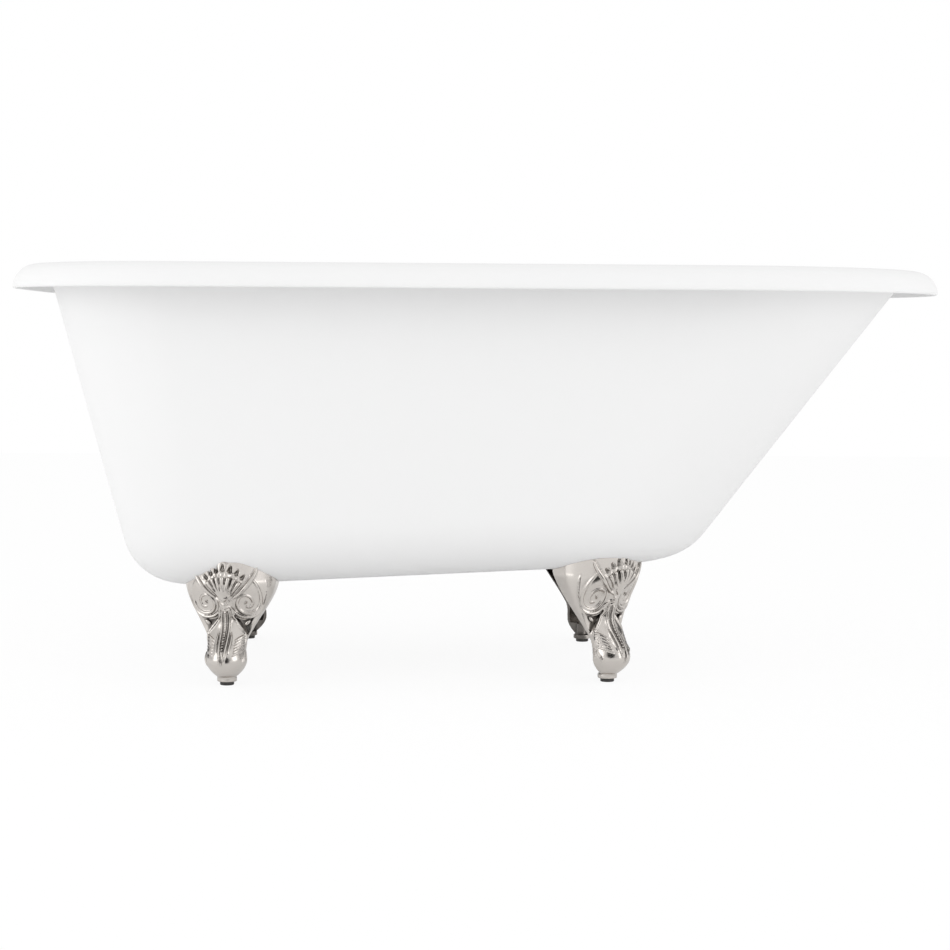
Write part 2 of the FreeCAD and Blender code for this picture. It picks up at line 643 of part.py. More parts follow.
for foot in feet:
    stud_x, stud_y = behind(foot, "Sizes.stud_setback")
    stud(foot, stud_x, stud_y)
    washer(foot, stud_x, stud_y)
    lock_washer(foot, stud_x, stud_y)
    nut(foot, stud_x, stud_y)
    leveller_pad(foot)
    leveller_stem(foot)

# ---------------------------------------------------------------- check and write

doc.recompute()
for made in doc.Objects:
    if "Invalid" in made.State or "Error" in made.State:
        raise RuntimeError("%s did not build: %s" % (made.Name, made.State))
os.makedirs("parts", exist_ok=True)
for piece in finished:
    piece.Label = piece.Name
    shape = piece.Shape
    if shape.isNull() or not shape.isValid() or shape.Volume <= 0:
        raise RuntimeError("%s has no sound shape" % piece.Label)
    shape.exportStep("parts/%s.step" % piece.Label)
    print("%-28s %d solid  %9.1f cm3" % (piece.Label, len(shape.Solids), shape.Volume / 1000))
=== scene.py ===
import math
import bmesh
import bpy
from mathutils import Matrix, Vector
from mathutils.bvhtree import BVHTree
from mathutils.kdtree import KDTree


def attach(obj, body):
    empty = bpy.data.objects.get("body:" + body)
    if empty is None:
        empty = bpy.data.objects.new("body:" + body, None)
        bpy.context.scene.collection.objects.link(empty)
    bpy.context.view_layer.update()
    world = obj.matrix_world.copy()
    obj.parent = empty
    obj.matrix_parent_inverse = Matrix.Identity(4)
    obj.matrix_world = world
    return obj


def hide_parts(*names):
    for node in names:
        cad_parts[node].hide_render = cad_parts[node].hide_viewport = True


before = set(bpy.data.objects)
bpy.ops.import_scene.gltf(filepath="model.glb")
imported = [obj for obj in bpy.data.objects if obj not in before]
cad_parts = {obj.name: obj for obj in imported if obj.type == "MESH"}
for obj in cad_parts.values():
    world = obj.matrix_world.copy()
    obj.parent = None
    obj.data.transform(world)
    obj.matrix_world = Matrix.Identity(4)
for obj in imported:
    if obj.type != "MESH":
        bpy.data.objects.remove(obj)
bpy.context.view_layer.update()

# ------------------------------------------------------------------ shell
# The bath itself is one iron casting with a rolled rim that is open underneath. It is enamelled
# inside and over the rim, and painted outside. Four bosses under it take the studs of the feet.

rim_length = 1.372
rim_width = 0.762
rim_top = 0.596
rim_drop = 0.035
lip_z = rim_top - rim_drop
roll_radius = 0.034
roll_wall = 0.006
crest_radius = 0.026
wall = 0.007
lean = {"drain": 16.6, "slope": 39.3, "side": 3.2}
outward = {"drain": -1, "slope": 1, "side": 1}
overhang = {"drain": 0.058, "slope": 0.069, "side": 0.068}
wall_at_lip = {"drain": -rim_length / 2 + overhang["drain"],
               "slope": rim_length / 2 - overhang["slope"],
               "side": rim_width / 2 - overhang["side"]}
rim_corner = 0.245
rim_end_flat = 0.005
wall_corner = 0.190
base_round = 0.090
base_corner = {"drain": 0.080, "slope": 0.180}
flat_corner = {"drain": 0.055, "slope": 0.125}
base_height = 0.1335
drain_wall_foot = wall_at_lip["drain"] + math.tan(math.radians(lean["drain"])) * (lip_z - base_height)
base_climb = 2.75
base_rise = math.tan(math.radians(base_climb))
base_z = base_height - base_rise * drain_wall_foot
ceiling_above = rim_top - roll_wall - base_z


def outline(low_x, high_x, half_width, drain_radius, slope_radius, level, rise=0.0):
    """Points round the tub in plan: round slope end, straight sides, square drain end."""
    slope_x, slope_y = high_x - slope_radius, half_width - slope_radius
    drain_x, drain_y = low_x + drain_radius, half_width - drain_radius
    corners = ((slope_x, slope_y, slope_radius, 0, 36), (drain_x, drain_y, drain_radius, 90, 28),
               (drain_x, -drain_y, drain_radius, 180, 28), (slope_x, -slope_y, slope_radius, 270, 36))
    straight_steps = (16, 8, 16, 4)
    points = []
    for index, (x, y, radius, start, steps) in enumerate(corners):
        for step in range(steps + 1):
            angle = math.radians(start + 90 * step / steps)
            points.append(Vector((x + radius * math.cos(angle), y + radius * math.sin(angle), 0)))
        x, y, radius, start, steps = corners[(index + 1) % 4]
        angle = math.radians(start)
        end = Vector((x + radius * math.cos(angle), y + radius * math.sin(angle), 0))
        begin = points[-1]
        points += [begin.lerp(end, step / straight_steps[index])
                   for step in range(1, straight_steps[index])]
    for point in points:
        point.z = level + rise * point.x
    return points


def wall_station(side, level):
    """Where a wall's outer face is at a level."""
    return wall_at_lip[side] - outward[side] * math.tan(math.radians(lean[side])) * (lip_z - level)


def shell_sizes(above, inset):
    """The outline's sizes at a height over the underside, moved in from the outer face."""
    round_radius = base_round - inset
    share = min(max((above - inset) / (lip_z - base_z), 0.0), 1.0)
    rise = base_rise * (1 - share)
    level = base_z + above
    place = {}
    rounding = {}
    for side in ("drain", "slope", "side"):
        plumb = level if side == "side" else level + rise * wall_station(side, base_z)
        height = above - inset
        corner_in = round_radius * math.tan(math.radians((90 - lean[side]) / 2))
        cut_back = 0.0
        if height < round_radius * (1 - math.sin(math.radians(lean[side]))):
            bow = math.sqrt(max(2 * round_radius * height - height * height, 0.0))
            cut_back = height * math.tan(math.radians(lean[side])) + corner_in - bow
        rounding[side] = cut_back / corner_in
        thickness = inset / math.cos(math.radians(lean[side]))
        place[side] = wall_station(side, plumb) - outward[side] * (thickness + cut_back)
    down = min(max((rim_top - level) / (rim_top - base_z), 0.0), 1.0)
    crest_slope_radius = wall_station("side", rim_top) - rim_end_flat / 2
    drain_radius = wall_corner + down * (base_corner["drain"] - wall_corner) - inset
    slope_radius = crest_slope_radius + down * (base_corner["slope"] - crest_slope_radius) - inset
    drain_radius += rounding["side"] * (flat_corner["drain"] - base_corner["drain"])
    slope_radius += rounding["side"] * (flat_corner["slope"] - base_corner["slope"])
    return place, drain_radius, slope_radius, level, rise


def shell_ring(above, inset, grown=0.0, raised=0.0):
    """The same outline as points, grown sideways and raised if asked."""
    place, drain_radius, slope_radius, level, rise = shell_sizes(above, inset)
    return outline(place["drain"] - grown, place["slope"] + grown, place["side"] + grown,
                   drain_radius + grown, slope_radius + grown, level + raised, rise)


def rounded_rings(inset):
    """Rings of the round between the underside and the walls, from the flat upwards."""
    heights = [inset + (base_round - inset) * (1 - math.cos(math.radians(turn)))
               for turn in range(0, 91, 6)]
    return [shell_ring(above, inset) for above in heights]


def between(low, high, count):
    """Rings of a straight wall between two rings."""
    return [[a.lerp(b, step / count) for a, b in zip(low, high)] for step in range(1, count)]


def lip_ring(inset, level):
    """The lip's outline, moved in."""
    return outline(-rim_length / 2 + inset, rim_length / 2 - inset, rim_width / 2 - inset,
                   rim_corner - inset, rim_width / 2 - rim_end_flat / 2 - inset, level)


def flare_ring(turn):
    """Inner wall where its flare over the crest has turned this far off vertical."""
    level = rim_top - crest_radius * (1 - math.sin(math.radians(turn)))
    place, drain_radius, slope_radius = shell_sizes(level - base_z, wall)[:3]
    flare = {}
    for side in place:
        leaning = math.radians(min(lean[side], turn))
        climb = crest_radius * (math.sin(math.radians(turn)) - math.sin(leaning))
        flare[side] = (crest_radius * (math.cos(leaning) - math.cos(math.radians(turn)))
                       - climb * math.tan(leaning))
    return outline(place["drain"] - flare["drain"], place["slope"] + flare["slope"],
                   place["side"] + flare["side"], drain_radius + flare["side"],
                   slope_radius + flare["side"], level)


def first_ring(mesh, points):
    """Starts a skin from one closed ring of points, and returns its edges."""
    number = mesh.verts.layers.int.get("number") or mesh.verts.layers.int.new("number")
    made = bmesh.ops.create_circle(mesh, segments=len(points), radius=1)["verts"]
    for index, vert in enumerate(made):
        vert[number] = index
        vert.co = points[index]
    return list({edge for vert in made for edge in vert.link_edges})


def next_ring(mesh, edges, points):
    """Carries the skin on to the next ring of points."""
    number = mesh.verts.layers.int["number"]
    made = bmesh.ops.extrude_edge_only(mesh, edges=edges)["geom"]
    for item in made:
        if isinstance(item, bmesh.types.BMVert):
            item.co = points[item[number]]
    return [item for item in made if isinstance(item, bmesh.types.BMEdge)]


def skinned(mesh, rings, capped=True):
    """A skin through rings of points, closed at both ends, or from the last ring to the first."""
    first = last = first_ring(mesh, rings[0])
    for points in rings[1:]:
        last = next_ring(mesh, last, points)
    if capped:
        bmesh.ops.contextual_create(mesh, geom=first)
        bmesh.ops.contextual_create(mesh, geom=last)
    else:
        bmesh.ops.bridge_loops(mesh, edges=first + last)
    bmesh.ops.recalc_face_normals(mesh, faces=mesh.faces)


def finished(name, mesh, smooth_angle=None):
    """An object of a bmesh, in the scene, shaded smooth, with edges sharper than an angle kept."""
    data = bpy.data.meshes.new(name)
    mesh.to_mesh(data)
    mesh.free()
    made = bpy.data.objects.new(name, data)
    bpy.context.scene.collection.objects.link(made)
    smoothed(made, smooth_angle)
    return made


def smoothed(made, smooth_angle=None):
    """Shades an object smooth, except over edges sharper than an angle."""
    made.data.shade_smooth()
    if smooth_angle:
        made.data.set_sharp_from_angle(angle=math.radians(smooth_angle))


def applied(made):
    """Puts the result of an object's modifiers into its mesh."""
    seen = bpy.context.evaluated_depsgraph_get()
    seen.update()
    data = bpy.data.meshes.new_from_object(made.evaluated_get(seen))
    made.modifiers.clear()
    old = made.data
    made.data = data
    bpy.data.meshes.remove(old)


def carved(made, tool, kept=False, operation="DIFFERENCE"):
    """Cuts a tool out of an object for good, or joins the two."""
    cutter = made.modifiers.new("carve", "BOOLEAN")
    cutter.operation = operation
    cutter.solver = "MANIFOLD"
    cutter.object = tool
    applied(made)
    if not kept:
        bpy.data.objects.remove(tool)


waste_setback = 0.130
waste_x = drain_wall_foot + waste_setback
waste_radius = 0.0255


def waste_ring(over, radius):
    """Ring round the waste outlet, each point on the line from the outlet to the flat's edge."""
    points = []
    for point in shell_ring(0.0, 0.0):
        angle = math.atan2(point.y, point.x - waste_x)
        x = waste_x + radius * math.cos(angle)
        points.append(Vector((x, radius * math.sin(angle), base_z + base_rise * x + over)))
    return points


rings = rounded_rings(0.0)
skin_top = shell_ring(ceiling_above, 0.0)
ceiling_round = 0.008
wall_top = [low.lerp(high, (rim_top - roll_wall - ceiling_round - low.z) / (high.z - low.z))
            for low, high in zip(rings[-1], skin_top)]
rings += between(rings[-1], wall_top, 10) + [wall_top]
for turn in (30, 60, 90):
    sideways = ceiling_round * (1 - math.cos(math.radians(turn)))
    climb = ceiling_round * math.sin(math.radians(turn))
    rings.append(shell_ring(ceiling_above, 0.0, sideways, climb - ceiling_round))
for turn in range(90, -1, -15):
    inner = roll_radius - roll_wall
    rings.append(lip_ring(roll_radius - inner * math.cos(math.radians(turn)),
                          rim_top - roll_radius + inner * math.sin(math.radians(turn))))
half_wall = roll_wall / 2
for turn in range(0, 181, 30):
    rings.append(lip_ring(half_wall + half_wall * math.cos(math.radians(turn)),
                          lip_z + half_wall - half_wall * math.sin(math.radians(turn))))
for turn in range(10, 91, 5):
    rings.append(lip_ring(roll_radius * (1 - math.cos(math.radians(turn))),
                          rim_top - roll_radius * (1 - math.sin(math.radians(turn)))))
rings += [flare_ring(turn) for turn in (90, 80, 70, 60, 50, 40, 30, 20, 10, lean["side"])]
inner_round = rounded_rings(wall)
rings += between(rings[-1], inner_round[-1], 12) + inner_round[::-1]
edge_round = 0.002
for turn in (0, 30, 60, 90):
    rings.append(waste_ring(wall - edge_round * (1 - math.cos(math.radians(turn))),
                            waste_radius + edge_round * (1 - math.sin(math.radians(turn)))))
rings.append(waste_ring(0.0, waste_radius))
tub_mesh = bmesh.new()
skinned(tub_mesh, rings, capped=False)
tub_skin = BVHTree.FromBMesh(tub_mesh)

feet = {}
for end, foot_x, foot_y, foot_turn in (("drain", -0.371, 0.250, 10), ("slope", 0.174, 0.216, 38)):
    for row, side in (("front", -1), ("back", 1)):
        facing = side * (90 + foot_turn) if end == "drain" else side * (90 - foot_turn)
        feet[end + "_" + row] = (Matrix.Translation((foot_x, side * foot_y, 0))
                                 @ Matrix.Rotation(math.radians(facing), 4, "Z"))

stud_setback = 0.022
shelf_top = 0.128


def turned(mesh, profile, place=Matrix.Identity(4), steps=48):
    """A round solid from half its section: radius and height of each corner."""
    points = [mesh.verts.new((radius, 0, height)) for radius, height in profile]
    edges = [mesh.edges.new(pair) for pair in zip(points, points[1:])]
    bmesh.ops.spin(mesh, geom=points + edges, cent=(0, 0, 0), axis=(0, 0, 1), dvec=(0, 0, 0),
                   angle=math.tau, steps=steps, use_merge=True, use_duplicate=False)
    swept = {vert for edge in edges for vert in edge.verts}
    reached = set()
    edge_of_reach = list(swept)
    while edge_of_reach:
        vert = edge_of_reach.pop()
        if vert not in reached:
            reached.add(vert)
            edge_of_reach += [edge.other_vert(vert) for edge in vert.link_edges]
    bmesh.ops.remove_doubles(mesh, verts=list(reached), dist=1e-6)
    reached = [vert for vert in reached if vert.is_valid]
    faces = list({face for vert in reached for face in vert.link_faces})
    bmesh.ops.recalc_face_normals(mesh, faces=faces)
    bmesh.ops.transform(mesh, matrix=place, verts=reached)
    return reached


def added(mesh, extra):
    """Moves one mesh into another."""
    data = bpy.data.meshes.new("extra")
    extra.to_mesh(data)
    extra.free()
    mesh.from_mesh(data)
    bpy.data.meshes.remove(data)


boss_radius = 0.017
boss_high = 0.012
boss_edge = 0.0015
thread_radius = 0.005
thread_depth = 0.010
boss_mesh = bmesh.new()
for foot_place in feet.values():
    boss_place = foot_place @ Matrix.Translation((-stud_setback, 0, shelf_top))
    made = turned(boss_mesh, ((0, thread_depth), (thread_radius, thread_depth), (thread_radius, 0),
                              (boss_radius - boss_edge, 0), (boss_radius, boss_edge),
                              (boss_radius, boss_high), (0, boss_high)), boss_place)
    for vert in made:
        if vert.co.z > shelf_top + boss_high - 1e-5:
            seat = tub_skin.ray_cast(Vector((vert.co.x, vert.co.y, 0)), Vector((0, 0, 1)))[0]
            vert.co.z = seat.z + wall * 0.6
added(tub_mesh, boss_mesh)

tub_shell = finished("tub_shell_cast", tub_mesh, 40)
overflow_z = 0.478
overflow_radius = 0.0285
cut_reach = 0.03
overflow_x = wall_station("drain", overflow_z)
overflow_tilt = Matrix.Rotation(math.radians(90 - lean["drain"]), 4, "Y")
overflow_mesh = bmesh.new()
turned(overflow_mesh, ((0, -cut_reach), (overflow_radius, -cut_reach), (overflow_radius, cut_reach),
                       (0, cut_reach)),
       Matrix.Translation((overflow_x, 0, overflow_z)) @ overflow_tilt, steps=64)
carved(tub_shell, finished("overflow_tool", overflow_mesh))
smoothed(tub_shell, 40)
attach(tub_shell, "tub")
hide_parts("tub_shell")

enamel = bpy.data.materials.new("white_enamel")
enamel.use_nodes = True
nodes = enamel.node_tree.nodes
links = enamel.node_tree.links
surface = nodes["Principled BSDF"]
surface.inputs["IOR"].default_value = 1.5
where = nodes.new("ShaderNodeTexCoord")
cloud = nodes.new("ShaderNodeTexNoise")
cloud.inputs["Scale"].default_value = 3.5
cloud.inputs["Detail"].default_value = 3
tint = nodes.new("ShaderNodeValToRGB")
tint.color_ramp.elements[0].position = 0.35
tint.color_ramp.elements[0].color = (0.852, 0.852, 0.850, 1)
tint.color_ramp.elements[1].position = 0.65
tint.color_ramp.elements[1].color = (0.872, 0.870, 0.866, 1)
gloss = nodes.new("ShaderNodeMapRange")
gloss.inputs["To Min"].default_value = 0.16
gloss.inputs["To Max"].default_value = 0.24
flow = nodes.new("ShaderNodeTexNoise")
flow.inputs["Scale"].default_value = 14
flow.inputs["Detail"].default_value = 2
ripple = nodes.new("ShaderNodeBump")
ripple.inputs["Strength"].default_value = 0.12
ripple.inputs["Distance"].default_value = 0.0015
links.new(where.outputs["Object"], cloud.inputs["Vector"])
links.new(where.outputs["Object"], flow.inputs["Vector"])
links.new(cloud.outputs["Fac"], tint.inputs["Fac"])
links.new(cloud.outputs["Fac"], gloss.inputs["Value"])
links.new(flow.outputs["Fac"], ripple.inputs["Height"])
links.new(tint.outputs["Color"], surface.inputs["Base Color"])
links.new(gloss.outputs["Result"], surface.inputs["Roughness"])
links.new(ripple.outputs["Normal"], surface.inputs["Normal"])
tub_shell.data.materials.append(enamel)

# ------------------------------------------------------------------ feet
# Each foot is a hollow iron casting, open at the back, nickel plated and brushed. A ball and claw
# carries a shield, whose top edge is ground to fit the shell, with a ledge inside for the stud.

foot_wall = 0.005
pattern_top = 0.206
levels = {"collar": 0.010, "ball": 0.037, "neck": 0.090, "chest": 0.150, "brow": pattern_top}
half_widths = {"collar": 0.010, "ball": 0.0295, "neck": 0.015, "chest": 0.025, "brow": 0.025}
reaches = {"collar": 0.010, "ball": 0.036, "neck": 0.007, "chest": 0.031, "brow": 0.026}
shoulders = {"collar": -0.001, "ball": -0.001, "neck": 0.020, "chest": 0.022, "brow": 0.022}
ankle = 0.054
ankle_half_width = 0.0255
chest_half_width = 0.066
ankle_reach = -0.006
chest_reach = 0.026
brow_reach = 0.027
wing_foot = 0.040
wing_top = 0.104


def eased(start, end, share):
    """A value on its way from a start to an end, gentle at both."""
    return start + (end - start) * (1 - math.cos(math.pi * share)) / 2


def leg_section(height):
    """The ball, the neck and the raised middle of the shield: reach, half width, shoulder, back."""
    names = list(levels)
    for low, high in zip(names, names[1:]):
        if height <= levels[high]:
            share = max(height - levels[low], 0.0) / (levels[high] - levels[low])
            if low == "collar":
                rounded = math.sin(math.pi / 2 * share) ** 0.8
                reach = reaches[low] + (reaches[high] - reaches[low]) * rounded
                half_width = half_widths[low] + (half_widths[high] - half_widths[low]) * rounded
            else:
                reach = eased(reaches[low], reaches[high], share)
                half_width = eased(half_widths[low], half_widths[high], share)
            shoulder = eased(shoulders[low], shoulders[high], share)
            return reach, half_width, shoulder, shoulder, 0.5


def shield_section(height):
    """The shield with its returns. It is fuller in the middle than an oval."""
    share = min(max(height - ankle, 0.0) / (levels["chest"] - ankle), 1.0)
    widened = math.sin(math.pi / 2 * share ** 1.4)
    half_width = ankle_half_width + widened * (chest_half_width - ankle_half_width)
    reach = eased(ankle_reach, chest_reach, share ** 1.6)
    if height > levels["chest"]:
        reach = eased(chest_reach, brow_reach, min((height - levels["chest"]) / 0.055, 1.0))
    return reach, half_width, 0.003 + share * 0.019, 0.003 + share * 0.043, 0.5 + 0.2 * share


def wing_section(height):
    """The pair of leaves that spread from the neck down to the sides of the ball."""
    share = (wing_top - height) / (wing_top - wing_foot)
    widened = math.sin(math.pi / 2 * min(max(share - 0.08, 0.0) / 0.42, 1.0)) ** 1.3
    half_width = 0.0085 + 0.0205 * widened
    held_back = 0.013 * min(max(1 - share, 0.0), 1.0)
    fade = min(max(share - 0.55, 0.0) / 0.45, 1.0)
    reach = leg_section(height)[0] - 0.0012 - 0.0028 * fade
    return reach, half_width * (1 - 0.09 * fade), held_back - 0.001, held_back, 0.62 - 0.12 * fade


front_parts = ((leg_section, levels["collar"], pattern_top), (shield_section, ankle, pattern_top),
               (wing_section, wing_foot, wing_top))
fan_foot = 0.122
fan_span = 52
lobe_turn = 13
lobe_length = 0.042
groove_depth = 0.0018
groove_width = 0.0008
cove_depth = 0.0048
volute_across = 0.029
volute_height = 0.118
dish_depth = 0.0026
dish_radius = 0.018


def hollows(across, height):
    """How far the shield is sunk: volute dishes, grooves between the lobes, a cove between tongues."""
    off = math.hypot(abs(across) - volute_across, height - volute_height)
    sunk = dish_depth * math.exp(-(off / dish_radius) ** 4)
    radius = math.hypot(across, height - fan_foot)
    turned_out = abs(math.degrees(math.atan2(across, height - fan_foot)))
    if height < fan_foot + 0.004 or turned_out > fan_span:
        return sunk
    off_groove = radius * math.radians(abs(turned_out % lobe_turn - lobe_turn / 2))
    if turned_out < 3.6 * lobe_turn and radius < lobe_length:
        sunk += groove_depth * math.exp(-(off_groove / groove_width) ** 2) * min(radius / 0.012, 1.0)
    aside = min(turned_out / 40, 1.0)
    within = eased(1, 0, min(max((turned_out - 40) / 12, 0.0), 1.0))
    tongue_width = 0.0006 + 0.0040 * min(max((radius - 0.041 + 0.0045 * aside) / 0.009, 0.0), 1.0)
    tongue = math.exp(-(off_groove / tongue_width) ** 4)
    off_cove = (radius - 0.0472 + 0.0045 * aside) / (0.0056 - 0.0012 * aside)
    cove = cove_depth * within * math.exp(-off_cove ** 4)
    return sunk + cove * (1 - 0.92 * tongue)


def bowed(across, half_width, fullness):
    """How far forward a section still is at a place across it, as a share."""
    return max(1 - (across / half_width) ** 2, 0.0) ** fullness


def foot_ring(section, height, inset, sunk, steps):
    """One section of a part of the foot: bowed front, straight returns and flat back.

    The section of a hollow runs out behind the casting."""
    reach, half_width, shoulder, back, fullness = section(height)
    reach -= inset + sunk
    half_width -= inset
    points = []
    for step in range(steps + 1):
        across = half_width * math.sin(math.radians(-90 + 180 * step / steps))
        ahead = -shoulder + (reach + shoulder) * bowed(across, half_width, fullness)
        points.append(Vector((ahead - (0.0 if inset else hollows(across, height)), across, height)))
    back += 0.021 if inset else 0.001
    rear = [Vector((-back, half_width, height)), Vector((-back, -half_width, height))]
    for begin, end, count in ((points[-1], rear[0], 6), (rear[0], rear[1], 16),
                              (rear[1], points[0], 6)):
        points += [begin.lerp(end, step / count) for step in range(1, count)] + [end]
    return points[:-1]


def foot_part(mesh, section, low, high, inset=0.0, sunk=0.0):
    """Skin of one part of the foot between two heights. An inset part is its hollow."""
    count = round((high - low) / (0.003 if inset else 0.0011))
    skinned(mesh, [foot_ring(section, low + (high - low) * index / count, inset, sunk,
                             48 if inset else 190) for index in range(count + 1)])


def front(across, height):
    """How far the foot's front stands out at a place seen from the front."""
    reached = -math.inf
    for section, low, high in front_parts:
        if low <= height <= high:
            reach, half_width, shoulder, back, fullness = section(height)
            held = min(abs(across), 0.97 * half_width)
            if abs(across) < half_width or reached == -math.inf:
                bow = bowed(held, half_width, fullness)
                reached = max(reached, -shoulder + (reach + shoulder) * bow)
    return reached - hollows(across, height)


def on_front(across, height, lift):
    """Point on the foot's front, lifted off it squarely."""
    step = 0.0008
    steepest = 3.0
    slope_across = (front(across + step, height) - front(across - step, height)) / (2 * step)
    slope_up = (front(across, height + step) - front(across, height - step)) / (2 * step)
    slope_across = max(min(slope_across, steepest), -steepest)
    slope_up = max(min(slope_up, steepest), -steepest)
    square = Vector((1, -slope_across, -slope_up)).normalized()
    return Vector((front(across, height), across, height)) + square * lift


def flowing(stops, count):
    """Stops of any length joined by a smooth line through all of them."""
    line = []
    padded = [stops[0]] + list(stops) + [stops[-1]]
    for a, b, c, d in zip(padded, padded[1:], padded[2:], padded[3:]):
        for step in range(count):
            t = step / count
            line.append([0.5 * (2 * q + (r - p) * t + (2 * p - 5 * q + 4 * r - s) * t * t
                                + (3 * q - p - 3 * r + s) * t ** 3) for p, q, r, s in zip(a, b, c, d)])
    return line + [list(stops[-1])]


carving = bpy.data.curves.new("carving", "CURVE")
carving.dimensions = "3D"
carving.bevel_depth = 1
carving.bevel_resolution = 3
carving.use_fill_caps = True


def strand(points, radii):
    """A round strand of the ornament, through points in metres."""
    spline = carving.splines.new("POLY")
    spline.points.add(len(points) - 1)
    for held, point, radius in zip(spline.points, points, radii):
        held.co = (*point, 1)
        held.radius = radius


def relief(stops, both=True, count=6):
    """Strand on the foot's front, on both sides of its middle or just where the stops are.

    Stops are across, height, lift and radius, in millimetres."""
    line = [[0.001 * value for value in stop] for stop in flowing(stops, count)]
    for side in (1, -1) if both else (1,):
        strand([on_front(side * across, height, lift) for across, height, lift, radius in line],
               [max(radius, 0.0002) for across, height, lift, radius in line])


# palmette: lobes that fan out from one point
for lobe in range(-3, 4):
    turn = lobe * lobe_turn
    sine, cosine = math.sin(math.radians(turn)), math.cos(math.radians(turn))
    stops = []
    for share in (0, 0.25, 0.5, 0.75, 0.93, 1.0):
        radius = 37 * share
        round_end = math.sqrt(max(1 - ((share - 0.93) / 0.09) ** 2, 0.05)) if share > 0.93 else 1
        thickness = (0.9 + 2.5 * share) * round_end
        stops.append((radius * sine, 120 + radius * cosine, 0.6 * share, thickness))
    relief(stops, both=False)

# scroll from the top edge down beside the palmette, and the volute with its second line and eye
relief([(45, 170, 0.8, 1.5), (42.5, 161, 1.4, 2.4), (37, 151, 1.6, 2.8), (30, 142, 1.6, 2.8),
        (21, 133, 1.4, 2.4), (12, 126, 1.1, 1.9), (6, 121, 0.3, 1.0)])
relief([(35, 158, 0.0, 0.6), (41, 150, 0.0, 1.5), (46, 141, 0.0, 2.0), (48.5, 130, -0.2, 2.4),
        (48, 118, -0.2, 2.5), (43.5, 107.5, -0.2, 2.5), (35, 102, -0.2, 2.5), (25, 102.5, -0.2, 2.4),
        (18, 109, -0.1, 2.3), (16.5, 118, -0.1, 2.3), (21, 126.5, 0.0, 2.2), (29, 129.5, 0.1, 2.0),
        (36, 125.5, 0.2, 1.8), (37.5, 117.5, 0.2, 1.6), (33.5, 111.5, 0.2, 1.5), (28, 112, 0.0, 1.2)])
relief([(28.5, 118.5, 0.6, 2.6), (29.2, 118, 1.0, 2.6)])
relief([(56, 150, 0.0, 0.5), (57, 138, 0.4, 1.1), (54, 122, 0.5, 1.3), (48, 108, 0.6, 1.5),
        (40, 99.5, 0.8, 1.8), (30, 96.5, 1.0, 2.0), (20, 98, 1.2, 2.1), (12, 104, 0.9, 1.8),
        (7, 112, 0.4, 1.2)])

# knot under the palmette, then the beaded rope between smooth strands down the neck
relief([(0, 120, -2.0, 2.5), (0, 113, -1.6, 4.2), (0, 106, -1.5, 3.2)], both=False)
for height, half_length in ((117, 6.0), (112.5, 8.0), (108, 6.5)):
    relief([(-half_length, height + 1, -0.3, 0.8), (0, height - 0.6, 0.9, 1.5),
            (half_length, height + 1, -0.3, 0.8)], both=False)
for bead in range(16):
    height = 105 - 3.5 * bead
    relief([(-1.2, height - 0.5, 2.2, 1.4), (1.2, height + 0.5, 2.2, 1.4)], both=False, count=1)
relief([(3.4, 108, 0, 0.8), (5.0, 101, 0.9, 1.3), (5.0, 88, 1.0, 1.4), (5.0, 74, 1.1, 1.4),
        (4.8, 60, 1.2, 1.5), (4.0, 48, 1.2, 1.7), (3.0, 38, 1.0, 1.5), (2.0, 29, 0.3, 0.7)])
relief([(9.4, 76, 0.0, 0.6), (9.8, 69, 0.9, 1.3), (9.8, 61, 1.0, 1.5), (9.0, 53, 0.6, 1.2),
        (8.2, 48, 0.0, 0.6)])

# curled edge of each leaf, then the feathers and talons over the ball
relief([(7.2, 112, 0.3, 0.9), (8.6, 105, 0.8, 1.5), (8.8, 99, 1.0, 1.9), (11.5, 93, 1.0, 2.1),
        (16.4, 86.5, 0.9, 2.1), (21.6, 80, 0.7, 2.1), (26.2, 73.5, 0.5, 1.9), (27.6, 67, 0.3, 1.5),
        (27.4, 60, 0.2, 0.8)])
for line in range(6):
    top = 72 - 3.9 * line
    relief([(26.6, top, 0.2, 0.7), (24, top - 1.6, 0.9, 1.15),
            (20, top - 4.2, 1.1, 1.2), (15.0, top - 7.4, 0.4, 0.8)], count=4)
relief([(27.6, 48, 0.1, 0.7), (27.8, 42, 0.5, 1.3), (26.6, 35, 0.5, 1.3), (24.2, 28, 0.1, 0.6)])

pattern_mesh = bmesh.new()
for section, low, high in front_parts:
    part_mesh = bmesh.new()
    foot_part(part_mesh, section, low, high)
    added(pattern_mesh, part_mesh)
carved_work = bpy.data.objects.new("carving", carving)
bpy.context.scene.collection.objects.link(carved_work)
bpy.context.view_layer.update()
strands = bpy.data.meshes.new_from_object(
    carved_work.evaluated_get(bpy.context.evaluated_depsgraph_get()))
pattern_mesh.from_mesh(strands)
bpy.data.objects.remove(carved_work)
bpy.data.meshes.remove(strands)
# the collar under the ball, and the post round the screw's bore inside it
turned(pattern_mesh, ((0, 0.005), (0.013, 0.005), (0.014, 0.006), (0.014, 0.011), (0.013, 0.012),
                      (0.009, 0.012), (0.009, 0.029), (0, 0.029)))
model = finished("foot_model", pattern_mesh)
fuse = model.modifiers.new("fuse", "REMESH")
fuse.mode = "VOXEL"
fuse.voxel_size = 0.0009
applied(model)


slope_taller = 0.009
slope_further_out = 0.010


def drawn_up(point, end):
    """The slope end's feet are cast taller than the drain end's, and lean out more at the top."""
    if end == "drain":
        return point
    taller = slope_taller * eased(0, 1, min(max((point.z - 0.045) / 0.110, 0.0), 1.0))
    higher = eased(0, 1, min(max((point.z - 0.095) / 0.085, 0.0), 1.0))
    ahead = min(max((point.x + 0.030) / 0.045, 0.0), 1.0)
    return Vector((point.x + slope_further_out * higher * ahead, point.y, point.z + taller))


